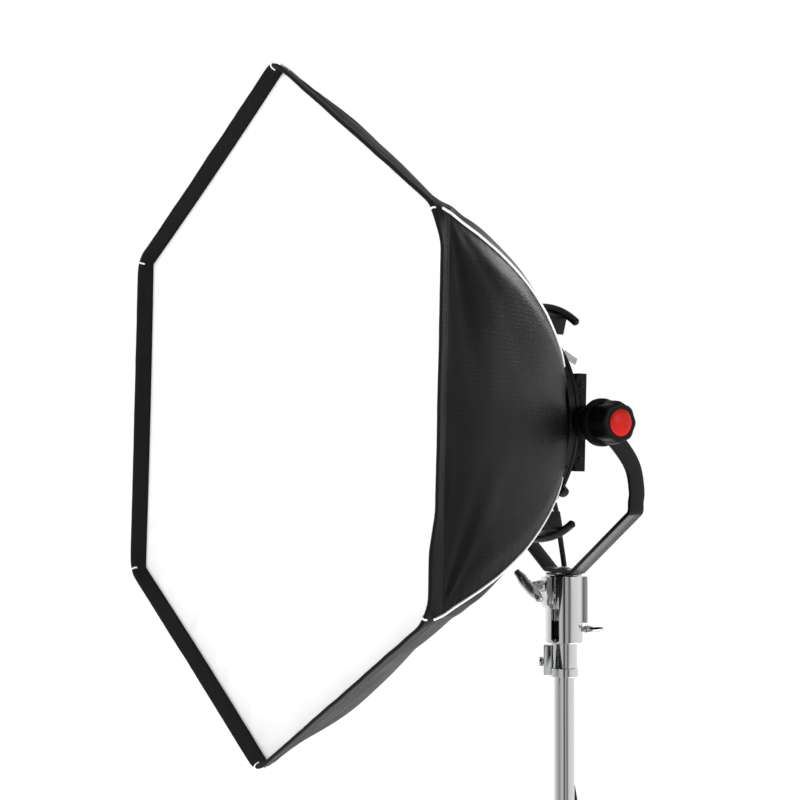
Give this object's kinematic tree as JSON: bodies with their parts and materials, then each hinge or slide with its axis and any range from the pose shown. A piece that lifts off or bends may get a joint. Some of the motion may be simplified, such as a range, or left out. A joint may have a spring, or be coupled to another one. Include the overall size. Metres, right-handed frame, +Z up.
{
  "type": "studio softbox",
  "caption": "Hexagonal fabric softbox with a recessed white diffuser on a round lamp head, held by a tilting yoke on a chrome three-legged stand with a mains lead.",
  "frame": {"origin": "on the floor, under the middle of the bounding box of everything but the cable", "axes": "+Z up, the light shines along -Y, and +X is on the right for someone who looks at its front"},
  "size_m": [0.912, 0.7925, 1.9858],
  "materials": {
    "black_fabric": "black ripstop nylon, slightly satin",
    "white_fabric": "white translucent diffusion cloth",
    "grey_fabric": "light grey webbing",
    "black_paint": "satin black powder coat",
    "black_rubber": "matte black rubber",
    "black_plastic": "moulded black plastic",
    "red_plastic": "glossy domed red",
    "chrome": "polished chrome plate",
    "steel": "plain steel",
    "aluminium": "bare extruded aluminium",
    "led_face": "phosphor-coated light source",
    "clear_lens": "clear"
  },
  "bodies": {
    "stand_base": {"column_tube": "chrome", "column_clamp": "black_paint", "leg_1": "chrome", "foot_1": "black_rubber", "power_cable_lower": "black_rubber", "cable_coil": "black_rubber", "power_plug": "black_rubber"},
    "leg_right": {"leg_2": "chrome", "foot_2": "black_rubber"},
    "leg_left": {"leg_3": "chrome", "foot_3": "black_rubber"},
    "clamp_knob": {"clamp_knob": "black_rubber"},
    "riser": {"riser_tube": "chrome", "riser_collar": "chrome", "stand_receiver": "chrome", "cable_tie": "black_rubber"},
    "t_handle": {"t_handle": "chrome"},
    "wing_knob": {"wing_knob": "chrome"},
    "collar_knob": {"collar_knob": "black_rubber"},
    "yoke": {"yoke_bar": "black_paint", "yoke_spigot": "chrome", "spigot_bolt": "steel", "friction_disc_right": "black_paint", "friction_disc_left": "black_paint", "power_cable_upper": "black_rubber"},
    "head": {"fabric_shell": "black_fabric", "front_hem": "black_fabric", "front_diffuser": "white_fabric", "inner_baffle": "white_fabric", "spring_rod_1": "steel", "spring_rod_2": "steel", "spring_rod_3": "steel", "spring_rod_4": "steel", "spring_rod_5": "steel", "spring_rod_6": "steel", "pull_tab": "grey_fabric", "speed_ring": "black_paint", "lamp_housing": "black_paint", "led_board": "led_face", "led_lens": "clear_lens", "heat_sink": "aluminium", "rear_cover": "black_paint", "fan_frame": "black_plastic", "cable_gland": "black_rubber", "side_block_right": "black_paint", "side_block_left": "black_paint", "pivot_shaft_right": "steel", "pivot_shaft_left": "steel", "top_handle": "black_paint", "bottom_handle": "black_paint"},
    "ring_lock_knob": {"ring_lock_knob": "black_rubber"},
    "fan_rotor": {"fan_rotor": "black_plastic"},
    "tilt_knob_right": {"tilt_knob_right": "black_rubber", "knob_cap_right": "red_plastic"},
    "tilt_knob_left": {"tilt_knob_left": "black_rubber", "knob_cap_left": "red_plastic"}
  },
  "joints": [
    {"name": "riser_slide", "type": "slide", "parent": "stand_base", "child": "riser", "axis": [0, 0, 1], "range_m": [-0.22, 0.18], "deforming": ["power_cable_lower"]},
    {"name": "yoke_pan", "type": "hinge", "parent": "riser", "child": "yoke", "pos_m": [0, 0.12466, 1.25], "axis": [0, 0, 1], "range_deg": [-170, 170]},
    {"name": "head_tilt", "type": "hinge", "parent": "yoke", "child": "head", "pos_m": [0, 0.05266, 1.5], "axis": [-1, 0, 0], "range_deg": [-15, 90], "deforming": ["power_cable_upper"]},
    {"name": "leg_right_swing", "type": "hinge", "parent": "stand_base", "child": "leg_right", "pos_m": [0, 0.12466, 0.15], "axis": [0, 0, 1], "range_deg": [-105, 0]},
    {"name": "leg_left_swing", "type": "hinge", "parent": "stand_base", "child": "leg_left", "pos_m": [0, 0.12466, 0.18], "axis": [0, 0, 1], "range_deg": [0, 105]},
    {"name": "clamp_knob_turn", "type": "hinge", "parent": "stand_base", "child": "clamp_knob", "pos_m": [0, 0.12466, 0.63], "axis": [-0.766, 0.6428, 0], "range_deg": [0, 360]},
    {"name": "t_handle_turn", "type": "hinge", "parent": "riser", "child": "t_handle", "pos_m": [0, 0.12466, 1.2605], "axis": [-0.2079, -0.9781, 0], "range_deg": [0, 360]},
    {"name": "wing_knob_turn", "type": "hinge", "parent": "riser", "child": "wing_knob", "pos_m": [0, 0.12466, 1.1965], "axis": [0.6157, 0.788, 0], "range_deg": [0, 360]},
    {"name": "collar_knob_turn", "type": "hinge", "parent": "riser", "child": "collar_knob", "pos_m": [0, 0.12466, 1.148], "axis": [-0.6157, -0.788, 0], "range_deg": [0, 360]},
    {"name": "tilt_knob_right_turn", "type": "hinge", "parent": "head", "child": "tilt_knob_right", "pos_m": [0.2, 0.05266, 1.5], "axis": [1, 0, 0], "range_deg": [0, 360]},
    {"name": "tilt_knob_left_turn", "type": "hinge", "parent": "head", "child": "tilt_knob_left", "pos_m": [-0.2, 0.05266, 1.5], "axis": [-1, 0, 0], "range_deg": [0, 360]},
    {"name": "ring_lock_turn", "type": "hinge", "parent": "head", "child": "ring_lock_knob", "pos_m": [0.11576, 0.03088, 1.41008], "axis": [0.788, -0.0156, -0.6155], "range_deg": [0, 360]},
    {"name": "fan_spin", "type": "hinge", "parent": "head", "child": "fan_rotor", "pos_m": [0, 0.10765, 1.49861], "axis": [0, 0.9997, -0.0253], "continuous": true}
  ]
}
